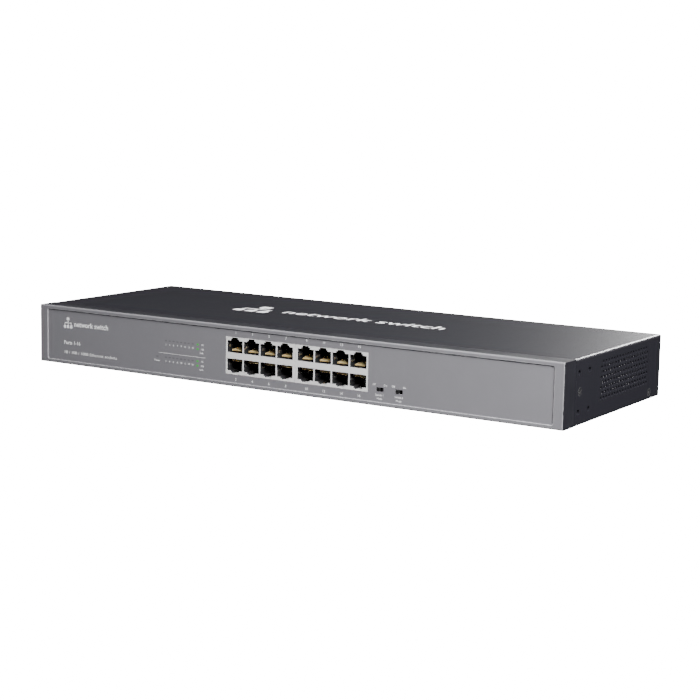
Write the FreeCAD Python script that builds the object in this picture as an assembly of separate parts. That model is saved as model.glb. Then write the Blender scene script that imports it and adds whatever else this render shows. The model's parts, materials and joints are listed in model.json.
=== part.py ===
import FreeCAD, Part
import math
import os

from FreeCAD import Vector

# A sixteen-port network switch in a one-unit-high steel case.
# Millimetres. X runs along the front, Y from front to rear, Z up. The origin is the middle of the
# case's footprint, on the surface it stands on. "Depth" is counted backwards from the front face.

# ---- driving dimensions ----
WIDTH = 440.0
HEIGHT = 44.0
CASE_DEPTH = 160.0
REAR_PROUD = 1.8          # how far the power inlet and the earth screw stand out of the rear wall
SHEET = 1.0               # steel of the base and the cover
SKIRT = 1.2               # wall of the moulded bezel around the front of the base
GAP = 0.2                 # assembly gap between neighbouring shells

HALF = WIDTH / 2
FRONT = -(CASE_DEPTH + REAR_PROUD) / 2

SIDEWARD = Vector(1, 0, 0)
REARWARD = Vector(0, 1, 0)
UPWARD = Vector(0, 0, 1)

# ---- front: grey panel, film label, black bezel, steel front wall ----
PANEL_THICK = 1.6
PANEL_ROUNDING = 0.9
PANEL_LIP = 0.4            # the bezel's thin lip along each end of the panel
PANEL_LIP_FRONT = 0.25
RECESS_HALF = 212.6
RECESS_Z = (2.9, 41.1)
RECESS_CORNER = 1.2
RECESS_DEPTH = 0.9
RECESS_CHAMFER = 0.25
LABEL_THICK = 0.2
LABEL_FACE = RECESS_DEPTH - LABEL_THICK
BEZEL_REAR = 16.4
SEAM = 0.6                 # between the bezel and the cover
BEZEL_WEB = (PANEL_THICK, PANEL_THICK + 1.0)
BEZEL_BEVEL = 0.3
FRONT_WALL = (BEZEL_WEB[1] + GAP, BEZEL_WEB[1] + GAP + SHEET)

# ---- network sockets, two blocks of two rows of four ----
PORTS_X = 14.7
PORT_PITCH = 14.3
PORT_SHIFT = 0.3           # the sockets sit this far outboard of the middle of their block
PORTS_PER_ROW = 4
PORT_OPENING = 13.3
OPENING_HEIGHT = 8.7
LATCH_STEPS = ((7.4, 1.1), (5.2, 2.2))   # width of each latch step and how far it reaches
ROW_BAR = 4.4
BLOCK_WIDTH = 59.2
BLOCK_GAP = 0.4
BLOCK_Z = (8.8, 35.7)
BLOCK_PLAY = 0.15          # around each block where it stands in the panel and the label
PORTS_Z = (BLOCK_Z[0] + BLOCK_Z[1]) / 2
SHIELD = 0.3
PORT_FACE = 0.6
BLOCK_REAR = 27.0
CAVITY_REAR = 14.0
CONTACTS = 8
CONTACT_PITCH = 1.02
CONTACT_WIDTH = 0.6
CONTACT_THICK = 0.3
CONTACT_SLOPE = 9.0
CONTACT_NOSE = (3.4, 0.45)   # depth of the middle of the front bend, and its radius
CONTACT_SHELF = 0.85         # height of the lower leg above the floor of the socket
CONTACT_RISE = 8.2           # length of the upper leg

# ---- slide switches ----
SWITCH_XS = (83.7, 98.7)
SWITCH_Z = 11.5
SWITCH_WINDOW = (5.9, 2.9)
SWITCH_TRAVEL = 2.0
KNOB_SIZE = (2.4, 2.4)
KNOB_TIP = 0.35
KNOB_GROOVE = 0.35
SLIDER_SIZE = (3.6, 3.2)
SWITCH_BODY = (8.6, 5.4)
SWITCH_BODY_DEPTH = (4.1, 8.9)

# ---- indicator lights ----
LED_PITCH = 3.486
LED_FIRST_X = -98.9
LED_ROWS_Z = (27.2, 15.0)
LEDS_PER_ROW = 8
POWER_LED_X = -106.9
LED_HOLE_RADIUS = 0.75
LED_WINDOW_X = (-110.5, -71.0)
LED_WINDOW_Z = (12.6, 29.6)

# ---- sides ----
VENT_RADIUS = 1.4
VENT_PITCH = 4.6
VENT_ROW_PITCH = 3.52
VENT_ROWS = 8
VENT_SHORT_ROW = 17
VENT_TOP_Z = 37.1
VENT_MIDDLE_DEPTH = 96.8
EAR_HOLE_RADIUS = 1.9
EAR_SPACING = (16.0, 26.0)
EAR_CENTRE = (30.05, 21.7)
SIDE_SCREWS = ((23.8, 22.2), (141.9, 5.0))
COVER_BEND = 1.5
SIDE_WALL_LOW = 13.0
EAR_WALL_REAR = 46.0

# ---- circuit boards ----
BOARD_Z = (7.2, 8.8)
BOARD_X = (-120.0, 112.0)
BOARD_DEPTH = (4.6, 118.0)
BOARD_FIXINGS = ((-114, 24), (-54, 24), (106, 24), (-114, 112), (-4, 112), (106, 112))
SUPPLY_X = (124.0, 212.0)
SUPPLY_DEPTH = (44.0, 122.0)
SUPPLY_FIXINGS = ((129, 49), (207, 49), (129, 117), (207, 117))
FIXING_HOLE_RADIUS = 1.7
SCREW_RADIUS = 1.45
STANDOFF_ACROSS_FLATS = 5.5
LED_BOARD_DEPTH = (7.2, 8.4)

# ---- rear ----
INLET_X = 168.0
INLET_Z = 21.5
INLET_FLANGE = (50.0, 24.0)
INLET_BODY = (27.6, 19.8)
INLET_MOUTH = (24.4, 16.4)
INLET_CHAMFER = 4.5
INLET_BODY_LENGTH = 20.0
INLET_CAVITY = 17.0
INLET_SCREW_SPACING = 40.0
BLADE = (2.0, 4.0)
BLADE_TIP = 5.6
BLADES = ((-7.0, -2.0), (7.0, -2.0), (0.0, 2.0))
TAIL = (0.8, 4.8, 9.0)
EARTH_SCREW = (122.0, 12.0)


def point(place):
    """The point at (x, depth, z)."""
    return Vector(place[0], FRONT + place[1], place[2])


def around(centre, size):
    return (centre - size / 2, centre + size / 2)


def box(x_range, depth_range, z_range):
    corner = point((x_range[0], depth_range[0], z_range[0]))
    lengths = [high - low for low, high in (x_range, depth_range, z_range)]
    return Part.makeBox(lengths[0], lengths[1], lengths[2], corner)


def rod(radius, start, axis, length):
    return Part.makeCylinder(radius, length, point(start), axis)


def edges_along(shape, axis):
    """The straight edges that run along an axis."""
    found = []
    for edge in shape.Edges:
        if edge.Curve.TypeId != "Part::GeomLine":
            continue
        if abs(edge.tangentAt(edge.FirstParameter).dot(axis)) > 0.999:
            found.append(edge)
    return found


def edges_at_depth(shape, depth):
    """The edges that lie in the plane at one depth."""
    plane = FRONT + depth
    return [edge for edge in shape.Edges if all(abs(end.Y - plane) < 1e-4 for end in edge.Vertexes)]


def rounded_tile(x_range, depth_range, z_range, radius):
    """A block whose four corners, seen from the front, are rounded."""
    tile = box(x_range, depth_range, z_range)
    return tile.makeFillet(radius, edges_along(tile, REARWARD))


def pillar(x, depth, size, z_range, radius=0.0):
    """An upright block on a board, its vertical edges rounded when a radius is given."""
    shape = box(around(x, size[0]), around(depth, size[1]), z_range)
    if radius:
        shape = shape.makeFillet(radius, edges_along(shape, UPWARD))
    return shape


def can(x, depth, radius, bottom, height, rounding=0.6):
    """An upright round can with a rolled top edge."""
    shape = rod(radius, (x, depth, bottom), UPWARD, height)
    top = [edge for edge in shape.Edges if edge.Closed and edge.CenterOfMass.z > bottom + height - 0.01]
    return shape.makeFillet(rounding, top)


def side_profile(outline, x_range):
    """A plate cut to an outline of (depth, z) corners and as thick as its x range."""
    corners = [point((x_range[0], depth, z)) for depth, z in outline]
    face = Part.Face(Part.makePolygon(corners + corners[:1]))
    return face.extrude(Vector(x_range[1] - x_range[0], 0, 0))


def hexagon(across_flats, x, depth, z_range):
    radius = across_flats / math.sqrt(3)
    corners = []
    for step in range(6):
        angle = math.radians(60 * step)
        place = (x + radius * math.cos(angle), depth + radius * math.sin(angle), z_range[0])
        corners.append(point(place))
    face = Part.Face(Part.makePolygon(corners + corners[:1]))
    return face.extrude(Vector(0, 0, z_range[1] - z_range[0]))


def turned(shape, direction, place):
    """A shape built along +Z, turned to face a direction and carried to its place."""
    moved = shape.copy()
    moved.Placement = FreeCAD.Placement(point(place), FreeCAD.Rotation(UPWARD, direction))
    return moved


def joined(shapes):
    return shapes[0].multiFuse(shapes[1:])


def drilled(shape, tools):
    return shape.cut(Part.makeCompound(tools))


def save(node, *solids):
    shape = solids[0] if len(solids) == 1 else Part.makeCompound(list(solids))
    shape.exportStep("parts/" + node + ".step")
    print(node, "solids", len(shape.Solids), "valid", shape.isValid(), "mm3", round(shape.Volume, 1))


# ---- screws and standoffs ----


def cross_recess(top, width, depth):
    """The cross that a screwdriver turns, sunk from the top of a head on the Z axis."""
    arm = Part.makeBox(width, width / 4, depth, Vector(-width / 2, -width / 8, top - depth))
    other = Part.makeBox(width / 4, width, depth, Vector(-width / 8, -width / 2, top - depth))
    return arm.fuse(other)


def pan_screw(head_radius, head_height, length):
    """A pan-head screw: head above z = 0, shank below."""
    head = Part.makeCylinder(head_radius, head_height)
    rim = [edge for edge in head.Edges if edge.Closed and edge.CenterOfMass.z > head_height / 2]
    head = head.makeFillet(head_height * 0.45, rim)
    shank = Part.makeCylinder(SCREW_RADIUS, length, Vector(0, 0, -length))
    return head.fuse(shank).cut(cross_recess(head_height, head_radius * 1.1, head_height * 0.6))


def countersunk_screw(head_radius, head_height, length):
    """A flat-head screw: the head's face at z = 0, the rest below."""
    head = Part.makeCone(SCREW_RADIUS, head_radius, head_height, Vector(0, 0, -head_height))
    shank = Part.makeCylinder(SCREW_RADIUS, length, Vector(0, 0, -length))
    return head.fuse(shank).cut(cross_recess(0, head_radius * 1.1, head_height * 0.7))


def standoff(x, depth):
    post = hexagon(STANDOFF_ACROSS_FLATS, x, depth, (SHEET, BOARD_Z[0]))
    return post.cut(rod(SCREW_RADIUS + 0.05, (x, depth, SHEET), UPWARD, BOARD_Z[0]))


def board_screw(x, depth):
    return turned(pan_screw(2.7, 2.0, BOARD_Z[1] - 2.6), UPWARD, (x, depth, BOARD_Z[1]))


# ---- case ----

SIDE_SCREW_HEAD = 2.7
SIDE_SCREW_SINK = 1.0
SIDE_SCREW_PLAY = 0.1


def side_screw_places():
    """Each side screw as (x sign, depth, z)."""
    return [(side, depth, z) for side in (-1, 1) for depth, z in SIDE_SCREWS]


def side_screw_seats():
    """The sunk, through-going seats of the side screws."""
    seats = []
    for side, depth, z in side_screw_places():
        outward = Vector(side, 0, 0)
        cone = Part.makeCone(
            SCREW_RADIUS + SIDE_SCREW_PLAY,
            SIDE_SCREW_HEAD + SIDE_SCREW_PLAY,
            SIDE_SCREW_SINK,
            Vector(0, 0, -SIDE_SCREW_SINK),
        )
        seats.append(turned(cone, outward, (side * HALF, depth, z)))
        bore = Part.makeCylinder(SCREW_RADIUS + SIDE_SCREW_PLAY, 6, Vector(0, 0, -6))
        seats.append(turned(bore, outward, (side * HALF, depth, z)))
    return seats


def ear_holes():
    """Holes on both sides for the screws of a rack ear, four to a side."""
    holes = []
    for depth in around(EAR_CENTRE[0], EAR_SPACING[0]):
        for z in around(EAR_CENTRE[1], EAR_SPACING[1]):
            holes.append(rod(EAR_HOLE_RADIUS, (-HALF - 1, depth, z), SIDEWARD, WIDTH + 2))
    return holes


def vent_holes():
    """Staggered rows of round vents through both sides; every second row has one hole more."""
    holes = []
    for row in range(VENT_ROWS):
        count = VENT_SHORT_ROW + row % 2
        z = VENT_TOP_Z - row * VENT_ROW_PITCH
        first = VENT_MIDDLE_DEPTH - (count - 1) * VENT_PITCH / 2
        for column in range(count):
            place = (-HALF - 1, first + column * VENT_PITCH, z)
            holes.append(rod(VENT_RADIUS, place, SIDEWARD, WIDTH + 2))
    return holes


def top_cover():
    """An inverted channel with rounded bends that covers the top and both sides."""
    depth = (BEZEL_REAR + SEAM, CASE_DEPTH)
    outer = box((-HALF, HALF), depth, (GAP, HEIGHT))
    bends = [edge for edge in edges_along(outer, REARWARD) if edge.CenterOfMass.z > HEIGHT / 2]
    outer = outer.makeFillet(COVER_BEND, bends)
    inner = box((-HALF + SHEET, HALF - SHEET), (depth[0] - 1, depth[1] + 1), (GAP - 1, HEIGHT - SHEET))
    bends = [edge for edge in edges_along(inner, REARWARD) if edge.CenterOfMass.z > HEIGHT / 2]
    inner = inner.makeFillet(COVER_BEND - SHEET, bends)
    return drilled(outer.cut(inner), vent_holes() + ear_holes() + side_screw_seats())


def ports_window(depth_range, play):
    """The one opening that both blocks of sockets stand in."""
    x_range = around(PORTS_X, 2 * BLOCK_WIDTH + BLOCK_GAP + 2 * play)
    return box(x_range, depth_range, (BLOCK_Z[0] - play, BLOCK_Z[1] + play))


def front_windows(depth_range, play):
    """The openings that the sockets, switches and lights need through a front layer."""
    windows = [ports_window(depth_range, play), box(LED_WINDOW_X, depth_range, LED_WINDOW_Z)]
    return windows + switch_windows(depth_range, play)


def switch_windows(depth_range, play=0.0):
    windows = []
    for x in SWITCH_XS:
        width = SWITCH_WINDOW[0] + 2 * play
        height = SWITCH_WINDOW[1] + 2 * play
        windows.append(box(around(x, width), depth_range, around(SWITCH_Z, height)))
    return windows


BASE_LIP = 10.0
WALL_PLAY = 0.3
WEB_PLAY = 0.2

FOOT_MARK_RADIUS = 6.5
FOOT_MARK_DEPTH = 0.3
FOOT_MARK_INSET = (26.0, 34.0)


def foot_marks():
    """Shallow stamped rings under the base, where stick-on feet may be put."""
    marks = []
    for x in (-HALF + FOOT_MARK_INSET[0], HALF - FOOT_MARK_INSET[0]):
        for depth in (FOOT_MARK_INSET[1], CASE_DEPTH - FOOT_MARK_INSET[1]):
            ring = rod(FOOT_MARK_RADIUS, (x, depth, 0), UPWARD, FOOT_MARK_DEPTH)
            marks.append(ring.cut(rod(FOOT_MARK_RADIUS - 0.8, (x, depth, 0), UPWARD, FOOT_MARK_DEPTH)))
    return marks


def chassis_base():
    """A folded tray: floor, low side walls, tall front corners for the rack ears, front and rear
    walls with a stiffening lip. Its front end steps up to fit inside the bezel."""
    half = HALF - SKIRT
    front_top = HEIGHT - SKIRT - GAP
    rear_top = HEIGHT - SHEET - GAP
    step = (BEZEL_REAR + GAP, BEZEL_REAR + GAP + SKIRT)
    underside = [(FRONT_WALL[0], SKIRT), (step[0], SKIRT), (step[1], 0), (CASE_DEPTH, 0)]
    upper = [(CASE_DEPTH, SHEET), (step[1] + SHEET / 2, SHEET), (step[0] + SHEET / 2, SKIRT + SHEET)]
    floor = side_profile(underside + upper + [(FRONT_WALL[0], SKIRT + SHEET)], (-half, half))
    rise = [(CASE_DEPTH, SIDE_WALL_LOW), (EAR_WALL_REAR + 6, SIDE_WALL_LOW)]
    wall = underside + rise + [(EAR_WALL_REAR, front_top), (FRONT_WALL[0], front_top)]
    pieces = [floor, side_profile(wall, (-half, -half + SHEET)), side_profile(wall, (half - SHEET, half))]
    pieces.append(box((-half, half), FRONT_WALL, (SKIRT, front_top)))
    pieces.append(box((-half, half), (CASE_DEPTH - SHEET, CASE_DEPTH), (0, rear_top)))
    front_lip = (FRONT_WALL[0], FRONT_WALL[0] + BASE_LIP)
    pieces.append(box((-half, half), front_lip, (front_top - SHEET, front_top)))
    pieces.append(box((-half, half), (CASE_DEPTH - BASE_LIP, CASE_DEPTH), (rear_top - SHEET, rear_top)))
    rear_hole = (CASE_DEPTH - SHEET - 1, CASE_DEPTH + 1)
    cuts = front_windows((FRONT_WALL[0] - 1, FRONT_WALL[1] + 1), WALL_PLAY) + ear_holes() + side_screw_seats()
    cuts.append(box(around(INLET_X, INLET_BODY[0]), rear_hole, around(INLET_Z, INLET_BODY[1])))
    for x in around(INLET_X, INLET_SCREW_SPACING):
        cuts.append(rod(SCREW_RADIUS + 0.1, (x, rear_hole[0], INLET_Z), REARWARD, 4))
    cuts.append(rod(SCREW_RADIUS + 0.1, (EARTH_SCREW[0], rear_hole[0], EARTH_SCREW[1]), REARWARD, 4))
    return drilled(joined(pieces), cuts + foot_marks()).removeSplitter()


def front_bezel():
    """A moulded collar over the front of the base, with a web that carries the grey panel and a thin
    lip along each end of it."""
    outer = box((-HALF, HALF), (PANEL_LIP_FRONT, BEZEL_REAR), (0, HEIGHT))
    pocket = box((-HALF + PANEL_LIP, HALF - PANEL_LIP), (0, PANEL_THICK), (-1, HEIGHT + 1))
    outer = outer.cut(pocket)
    rim = [edge for edge in edges_at_depth(outer, PANEL_THICK) if edge.Length > HALF]
    outer = outer.makeChamfer(BEZEL_BEVEL, rim)
    inner = box((-HALF + SKIRT, HALF - SKIRT), (BEZEL_WEB[1], BEZEL_REAR + 1), (SKIRT, HEIGHT - SKIRT))
    windows = front_windows((0, BEZEL_WEB[1] + 1), WEB_PLAY)
    return drilled(outer.cut(inner), windows)


def light_holes(depth_range):
    return [rod(LED_HOLE_RADIUS, (x, depth_range[0], z), REARWARD, depth_range[1] - depth_range[0])
            for x, z in light_places()]


def light_places():
    """Two rows of port lights and the power light, as (x, z)."""
    columns = [LED_FIRST_X + LED_PITCH * column for column in range(LEDS_PER_ROW)]
    places = [(x, z) for z in LED_ROWS_Z for x in columns]
    return places + [(POWER_LED_X, LED_ROWS_Z[1])]


def front_panel():
    """The grey face plate: rounded along its top and bottom, with a shallow field sunk in its face."""
    plate = box((-HALF + PANEL_LIP, HALF - PANEL_LIP), (0, PANEL_THICK), (0, HEIGHT))
    long_edges = [edge for edge in edges_at_depth(plate, 0) if edge.Length > HALF]
    plate = plate.makeFillet(PANEL_ROUNDING, long_edges)
    field = rounded_tile((-RECESS_HALF, RECESS_HALF), (-1, RECESS_DEPTH), RECESS_Z, RECESS_CORNER)
    plate = plate.cut(field)
    rim = []
    for edge in edges_at_depth(plate, 0):
        limits = edge.BoundBox
        if max(abs(limits.XMin), abs(limits.XMax)) < RECESS_HALF + 0.1 and limits.ZMax < RECESS_Z[1] + 0.1:
            rim.append(edge)
    plate = plate.makeChamfer(RECESS_CHAMFER, rim)
    through = (-1, PANEL_THICK + 1)
    windows = [ports_window(through, BLOCK_PLAY)] + switch_windows(through)
    return drilled(plate, windows + light_holes(through))


def panel_label():
    """The printed film in the sunk field; it runs unbroken over the indicator lights."""
    film = rounded_tile(
        (-RECESS_HALF, RECESS_HALF),
        (LABEL_FACE, RECESS_DEPTH),
        RECESS_Z,
        RECESS_CORNER,
    )
    through = (-1, RECESS_DEPTH + 1)
    return drilled(film, [ports_window(through, BLOCK_PLAY)] + switch_windows(through))


# ---- network sockets ----


def block_centre(side):
    """The middle of the left (-1) or right (+1) block of sockets."""
    return PORTS_X + side * (BLOCK_WIDTH + BLOCK_GAP) / 2


def port_columns(side):
    """The middle of each column of sockets in a block."""
    first = block_centre(side) + side * PORT_SHIFT - (PORTS_PER_ROW - 1) * PORT_PITCH / 2
    return [first + number * PORT_PITCH for number in range(PORTS_PER_ROW)]


def port_places(side):
    """Each socket of a block as (x, row), row +1 above the middle bar and -1 below it."""
    return [(x, row) for row in (1, -1) for x in port_columns(side)]


def port_outline(x, row, depth_range):
    """The stepped mouth of one socket, cut to a depth."""
    pieces = []
    for width, rise in [(PORT_OPENING, 0.0)] + list(LATCH_STEPS):
        reach = ROW_BAR / 2 + OPENING_HEIGHT + rise
        ends = sorted((PORTS_Z + row * ROW_BAR / 2, PORTS_Z + row * reach))
        pieces.append(box(around(x, width), depth_range, ends))
    return joined(pieces)


def port_shield(side):
    """A tinned steel can around a block of sockets, open at the rear."""
    centre = block_centre(side)
    can_outer = box(around(centre, BLOCK_WIDTH), (PORT_FACE, BLOCK_REAR), BLOCK_Z)
    inside = box(
        around(centre, BLOCK_WIDTH - 2 * SHIELD),
        (PORT_FACE + SHIELD, BLOCK_REAR + 1),
        (BLOCK_Z[0] + SHIELD, BLOCK_Z[1] - SHIELD),
    )
    mouths = [port_outline(x, row, (0, 2)) for x, row in port_places(side)]
    return drilled(can_outer.cut(inside), mouths)


def housing_ribs(side, height):
    """The upright ribs left and right of every socket in one row."""
    block = around(block_centre(side), BLOCK_WIDTH - 2 * SHIELD)
    walls = [block[0]]
    for x in port_columns(side):
        walls.extend(around(x, PORT_OPENING))
    walls.append(block[1])
    depth = (PORT_FACE + SHIELD, CAVITY_REAR)
    return [box(pair, depth, height) for pair in zip(walls[::2], walls[1::2])]


def housing_lips(side, height):
    """The lips that stop the plug on both sides of each latch slot in one row."""
    depth = (PORT_FACE + SHIELD, CAVITY_REAR)
    lips = []
    for x in port_columns(side):
        for hand in (-1, 1):
            ends = sorted((x + hand * LATCH_STEPS[0][0] / 2, x + hand * PORT_OPENING / 2))
            lips.append(box(ends, depth, height))
    return lips


def port_housing(side):
    """The moulded inside of a block: a rear carrier, the middle bar, and a rib and two lips to a
    socket. They meet face to face around the open cavities."""
    block = around(block_centre(side), BLOCK_WIDTH - 2 * SHIELD)
    ends = (BLOCK_Z[0] + SHIELD, BLOCK_Z[1] - SHIELD)
    carrier = box(block, (CAVITY_REAR, BLOCK_REAR - SHIELD), ends)
    bar = box(block, (PORT_FACE + SHIELD, CAVITY_REAR), around(PORTS_Z, ROW_BAR))
    pieces = [carrier, bar]
    for row, outer in ((1, ends[1]), (-1, ends[0])):
        floor = PORTS_Z + row * ROW_BAR / 2
        shoulder = floor + row * OPENING_HEIGHT
        pieces.extend(housing_ribs(side, sorted((floor, outer))))
        pieces.extend(housing_lips(side, sorted((shoulder, outer))))
    return pieces


def contact_wire():
    """One spring contact: forward from the carrier above its socket's floor, round a nose and up
    again towards the rear. Built at x = 0 with the floor at z = 0."""
    nose_depth, bend = CONTACT_NOSE
    floor_z = CONTACT_SHELF + CONTACT_THICK / 2
    slope = math.radians(CONTACT_SLOPE)
    centre_z = floor_z + bend

    def on_nose(angle):
        return point((0, nose_depth + bend * math.cos(angle), centre_z + bend * math.sin(angle)))

    first = -math.pi / 2
    last = -3 * math.pi / 2 + slope
    tail = point((0, CAVITY_REAR - 0.1, floor_z))
    leave = on_nose(last)
    tip = leave + Vector(0, math.cos(slope), math.sin(slope)) * CONTACT_RISE
    runs = [
        Part.LineSegment(tail, on_nose(first)).toShape(),
        Part.Arc(on_nose(first), on_nose((first + last) / 2), leave).toShape(),
        Part.LineSegment(leave, tip).toShape(),
    ]
    half_width = CONTACT_WIDTH / 2
    half_thick = CONTACT_THICK / 2
    corners = [(-half_width, -half_thick), (half_width, -half_thick),
               (half_width, half_thick), (-half_width, half_thick)]
    section = [tail + Vector(across, 0, up) for across, up in corners]
    profile = Part.makePolygon(section + section[:1])
    return Part.Wire(runs).makePipeShell([profile], True, False)


def port_contacts(side):
    """Eight spring contacts in each socket, on the side away from the latch."""
    upper = contact_wire()
    lower = upper.mirror(Vector(0, 0, 0), UPWARD)
    wires = []
    for x, row in port_places(side):
        floor_z = PORTS_Z + row * ROW_BAR / 2
        for number in range(CONTACTS):
            wire = (upper if row > 0 else lower).copy()
            across = (number - (CONTACTS - 1) / 2) * CONTACT_PITCH
            wire.translate(Vector(x + across, 0, floor_z))
            wires.append(wire)
    return wires


# ---- slide switches ----


def slide_switch(x):
    """The fixed case of a slide switch: a slot in front, a wider chamber for the slider behind."""
    case = box(around(x, SWITCH_BODY[0]), SWITCH_BODY_DEPTH, around(SWITCH_Z, SWITCH_BODY[1]))
    play = 0.25
    slot = box(
        around(x, KNOB_SIZE[0] + SWITCH_TRAVEL + 2 * play),
        (0, SWITCH_BODY_DEPTH[0] + 1.5),
        around(SWITCH_Z, KNOB_SIZE[1] + 2 * play),
    )
    chamber = box(
        around(x, SLIDER_SIZE[0] + SWITCH_TRAVEL + 2 * play),
        (SWITCH_BODY_DEPTH[0] + 1.0, SWITCH_BODY_DEPTH[1] - 0.8),
        around(SWITCH_Z, SLIDER_SIZE[1] + 2 * play),
    )
    return drilled(case, [slot, chamber])


def switch_knob(x):
    """The moving part, at the left end of its travel: a ribbed tip on a captive slider."""
    centre = x - SWITCH_TRAVEL / 2
    slider_depth = (SWITCH_BODY_DEPTH[0] + 1.3, SWITCH_BODY_DEPTH[1] - 1.1)
    stem_depth = (KNOB_TIP, slider_depth[0] + 0.5)
    stem = box(around(centre, KNOB_SIZE[0]), stem_depth, around(SWITCH_Z, KNOB_SIZE[1]))
    rim = edges_at_depth(stem, KNOB_TIP)
    stem = stem.makeChamfer(0.25, rim)
    slider = box(around(centre, SLIDER_SIZE[0]), slider_depth, around(SWITCH_Z, SLIDER_SIZE[1]))
    grooves = []
    for offset in (-0.45, 0.45):
        depth = (KNOB_TIP - 1, KNOB_TIP + KNOB_GROOVE)
        grooves.append(box(around(centre + offset, KNOB_GROOVE), depth, around(SWITCH_Z, 2 * KNOB_SIZE[1])))
    return drilled(stem.fuse(slider), grooves)


# ---- indicator lights ----


def led_board():
    return box(
        (LED_WINDOW_X[0] - 2, LED_WINDOW_X[1] + 2),
        LED_BOARD_DEPTH,
        (BOARD_Z[1], LED_WINDOW_Z[1] + 2),
    )


def status_leds():
    size = (1.6, 0.7, 1.0)
    depth = (LED_BOARD_DEPTH[0] - size[1], LED_BOARD_DEPTH[0])
    return [box(around(x, size[0]), depth, around(z, size[2])) for x, z in light_places()]


def led_baffle():
    """A black block with one light channel per indicator, filling the window in the front wall."""
    play = 0.15
    depth = (PANEL_THICK, LED_BOARD_DEPTH[0])
    x_range = (LED_WINDOW_X[0] + play, LED_WINDOW_X[1] - play)
    body = box(x_range, depth, (LED_WINDOW_Z[0] + play, LED_WINDOW_Z[1] - play))
    seats = [box(around(x, 2.2), (LED_BOARD_DEPTH[0] - 1.2, LED_BOARD_DEPTH[0] + 1), around(z, 1.8))
             for x, z in light_places()]
    return drilled(body, light_holes((0, LED_BOARD_DEPTH[1])) + seats)


def led_board_pins():
    """Right-angle pins that carry the light board on the main board."""
    pitch = 2.54
    count = 12
    thick = 0.6
    rise = 2.7
    depth = (LED_BOARD_DEPTH[1], LED_BOARD_DEPTH[1] + 2.6)
    top = BOARD_Z[1] + rise
    first = (LED_WINDOW_X[0] + LED_WINDOW_X[1]) / 2 - (count - 1) * pitch / 2
    pins = []
    for number in range(count):
        across = around(first + number * pitch, thick)
        foot = box(across, depth, (top - thick, top))
        leg = box(across, (depth[1] - thick, depth[1]), (BOARD_Z[1], top))
        pins.append(foot.fuse(leg))
    return pins


# ---- main board ----

CHIP_DEPTH = 76.0
PHY_DEPTH = 60.0
PHY_OFFSET = 40.0
PHY_XS = (PORTS_X - PHY_OFFSET, PORTS_X + PHY_OFFSET)
CHIP_TOP = BOARD_Z[1] + 1.6
BOARD_HEADER = (100.0, 92.0)
CAPACITORS = ((62, 100), (74, 100), (84, 88), (-48, 96), (-60, 96))
INDUCTORS = ((62, 86), (74, 86), (-48, 82))
CRYSTALS = ((-20, 92), (44, 96))


def circuit_board(x_range, depth_range, fixings):
    board = box(x_range, depth_range, BOARD_Z)
    return drilled(board, [rod(FIXING_HOLE_RADIUS, (x, depth, 0), UPWARD, 20) for x, depth in fixings])


def port_magnetics():
    """Eight isolation transformer modules in a row behind the sockets."""
    count = 8
    pitch = 14.9
    modules = []
    for number in range(count):
        x = PORTS_X + (number - (count - 1) / 2) * pitch
        modules.append(pillar(x, 38.5, (12.6, 15.2), (BOARD_Z[1] + 0.4, BOARD_Z[1] + 6.3), 0.4))
    return modules


def heat_sink(x, depth, size, height, fins):
    """A finned block standing on its chip, fins running front to rear."""
    base_height = 2.5
    fin_width = 1.2
    sink = pillar(x, depth, size, (CHIP_TOP, CHIP_TOP + base_height))
    pitch = (size[0] - fin_width) / (fins - 1)
    first = x - (size[0] - fin_width) / 2
    parts = [sink]
    for number in range(fins):
        fin_z = (CHIP_TOP + base_height, CHIP_TOP + height)
        parts.append(pillar(first + number * pitch, depth, (fin_width, size[1]), fin_z))
    return joined(parts)


def header(x, depth, size):
    """An open-topped connector shroud."""
    wall = 1.0
    shroud = pillar(x, depth, size[:2], (BOARD_Z[1], BOARD_Z[1] + size[2]))
    hollow = pillar(x, depth, (size[0] - 2 * wall, size[1] - 2 * wall),
                    (BOARD_Z[1] + 1.5, BOARD_Z[1] + size[2] + 1))
    return shroud.cut(hollow)


def plug(x, depth, size, lead_xs, lead_radius):
    """The cable plug in a header, with a bore at the top for each lead."""
    bottom = BOARD_Z[1] + 1.5
    top = BOARD_Z[1] + size[2] + PLUG_RISE
    body = pillar(x, depth, (size[0] - 2.3, size[1] - 2.3), (bottom, top))
    bores = [rod(lead_radius, (lead_x, depth, top - PLUG_BORE), UPWARD, 3) for lead_x in lead_xs]
    return drilled(body, bores)


# ---- power supply ----

TRANSFORMER = (172.0, 84.0)
CHOKE = (190.2, 99.0)
CHOKE_RING = (8.0, 17.0, 17.0)
CHOKE_LEG = 4.5
CHOKE_COIL_RADIUS = 4.9
CHOKE_TURNS = 6
SUPPLY_HEADER = (134.0, 72.0)
MAINS_HEADER = (192.0, 116.0)
HEADER_SIZE = (18.0, 8.0, 9.0)
MAINS_HEADER_SIZE = (16.0, 8.0, 9.0)
PLUG_RISE = 4.0
PLUG_BORE = 2.0


def supply_sheet():
    """A folded insulating sheet between the power supply and the steel, clear of the standoffs."""
    margin = 3.0
    x_range = (SUPPLY_X[0] - margin, SUPPLY_X[1] + margin)
    depth = (SUPPLY_DEPTH[0] - margin, SUPPLY_DEPTH[1] + margin)
    thick = 0.4
    bottom = SHEET + 0.1
    floor = box(x_range, depth, (bottom, bottom + thick))
    upright = box((x_range[1] - thick, x_range[1]), depth, (bottom, 34.0))
    holes = [rod(5.0, (x, place, 0), UPWARD, 4) for x, place in SUPPLY_FIXINGS]
    return drilled(floor.fuse(upright), holes)


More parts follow.
